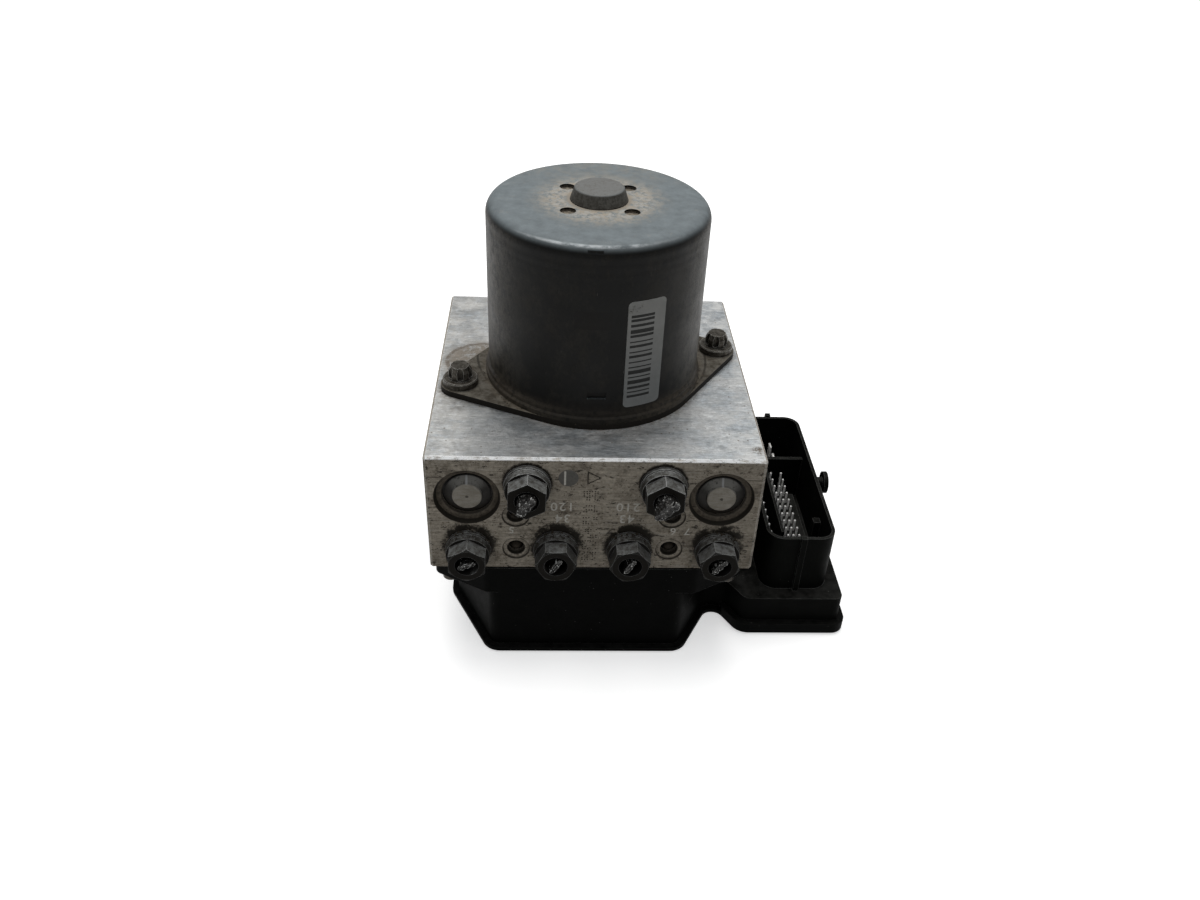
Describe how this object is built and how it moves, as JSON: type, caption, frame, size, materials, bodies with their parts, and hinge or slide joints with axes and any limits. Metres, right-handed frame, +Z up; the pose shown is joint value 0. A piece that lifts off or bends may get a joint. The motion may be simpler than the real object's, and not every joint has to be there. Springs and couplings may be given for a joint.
{
  "type": "abs brake module",
  "caption": "Anti-lock brake hydraulic unit: pump motor on a ported aluminium block, with a plastic control unit and connector beneath.",
  "frame": {"origin": "under the middle of the aluminium block, on the plane that the bottom cover rests on", "axes": "+Z up towards the motor's bearing boss, +Y from the ported front face to the rear, +X towards the connector"},
  "size_m": [0.1375, 0.1164, 0.1396],
  "materials": {
    "block_metal": "machined and weathered",
    "flange_steel": "plated and dirty",
    "can_steel": "satin",
    "label_film": "matt film",
    "bolt_steel": "plated and worn",
    "cap_steel": "plain",
    "ball_steel": "ground",
    "nut_steel": "dark plated",
    "pipe_steel": "coated and crushed",
    "housing_plastic": "moulded",
    "cover_plastic": "moulded",
    "pin_metal": "tinned",
    "seal_rubber": "plain",
    "magnet_ferrite": "sintered",
    "card_plastic": "moulded",
    "brush_carbon": "pressed carbon",
    "spring_steel": "drawn",
    "copper": "plain copper",
    "core_steel": "laminated",
    "board_green": "solder mask",
    "chip_plastic": "moulded",
    "piston_metal": "turned"
  },
  "bodies": {
    "unit": {"hydraulic_block": "block_metal", "motor_flange": "flange_steel", "motor_can": "can_steel", "motor_label": "label_film", "motor_bolts": "bolt_steel", "pump_caps": "cap_steel", "accumulator_caps": "cap_steel", "ball_plugs": "ball_steel", "inlet_nuts": "nut_steel", "outlet_nuts": "nut_steel", "inlet_pipe_left": "pipe_steel", "inlet_pipe_right": "pipe_steel", "outlet_pipe_1": "pipe_steel", "outlet_pipe_2": "pipe_steel", "outlet_pipe_3": "pipe_steel", "outlet_pipe_4": "pipe_steel", "ecu_housing": "housing_plastic", "ecu_cover": "cover_plastic", "ecu_screws": "bolt_steel", "connector_pins": "pin_metal", "power_blades": "pin_metal", "vent_plug": "cover_plastic", "motor_seal": "seal_rubber", "magnets": "magnet_ferrite", "rear_bearing": "ball_steel", "front_bearing": "ball_steel", "brush_holder": "card_plastic", "brushes": "brush_carbon", "brush_springs": "spring_steel", "motor_leads": "copper", "lead_insulator": "card_plastic", "pump_sleeves": "cap_steel", "pump_spring_left": "spring_steel", "pump_spring_right": "spring_steel", "accumulator_spring_left": "spring_steel", "accumulator_spring_right": "spring_steel", "inlet_valves": "cap_steel", "outlet_valves": "cap_steel", "isolation_valves": "cap_steel", "suction_valves": "cap_steel", "pressure_sensor": "cap_steel", "valve_coils": "copper", "circuit_board": "board_green", "board_chips": "chip_plastic", "ecu_seal": "seal_rubber"},
    "rotor": {"rotor_shaft": "ball_steel", "armature_core": "core_steel", "armature_windings": "copper", "commutator": "copper"},
    "ring": {"eccentric_ring": "ball_steel"},
    "pump_left": {"pump_piston_left": "ball_steel"},
    "pump_right": {"pump_piston_right": "ball_steel"},
    "store_left": {"accumulator_piston_left": "piston_metal", "accumulator_seal_left": "seal_rubber"},
    "store_right": {"accumulator_piston_right": "piston_metal", "accumulator_seal_right": "seal_rubber"}
  },
  "joints": [
    {"name": "rotor_spin", "type": "hinge", "parent": "unit", "child": "rotor", "pos_m": [0, -0.0011, 0.0632], "axis": [0, 0, 1], "continuous": true},
    {"name": "ring_roll", "type": "hinge", "parent": "rotor", "child": "ring", "pos_m": [0, -0.0003, 0.0632], "axis": [0, 0, 1], "continuous": true},
    {"name": "pump_stroke_left", "type": "slide", "parent": "unit", "child": "pump_left", "axis": [-1, 0, 0], "range_m": [0, 0.0016], "stiffness_N_per_m": 1500, "springref_m": -0.003, "deforming": ["pump_spring_left"]},
    {"name": "pump_stroke_right", "type": "slide", "parent": "unit", "child": "pump_right", "axis": [1, 0, 0], "range_m": [0, 0.0016], "stiffness_N_per_m": 1500, "springref_m": -0.003, "deforming": ["pump_spring_right"]},
    {"name": "store_stroke_left", "type": "slide", "parent": "unit", "child": "store_left", "axis": [0, -1, 0], "range_m": [0, 0.006], "stiffness_N_per_m": 900, "springref_m": -0.004, "deforming": ["accumulator_spring_left"]},
    {"name": "store_stroke_right", "type": "slide", "parent": "unit", "child": "store_right", "axis": [0, -1, 0], "range_m": [0, 0.006], "stiffness_N_per_m": 900, "springref_m": -0.004, "deforming": ["accumulator_spring_right"]}
  ],
  "couplings": [
    {"joint": "ring_roll", "follows": "rotor_spin", "ratio": -1}
  ]
}
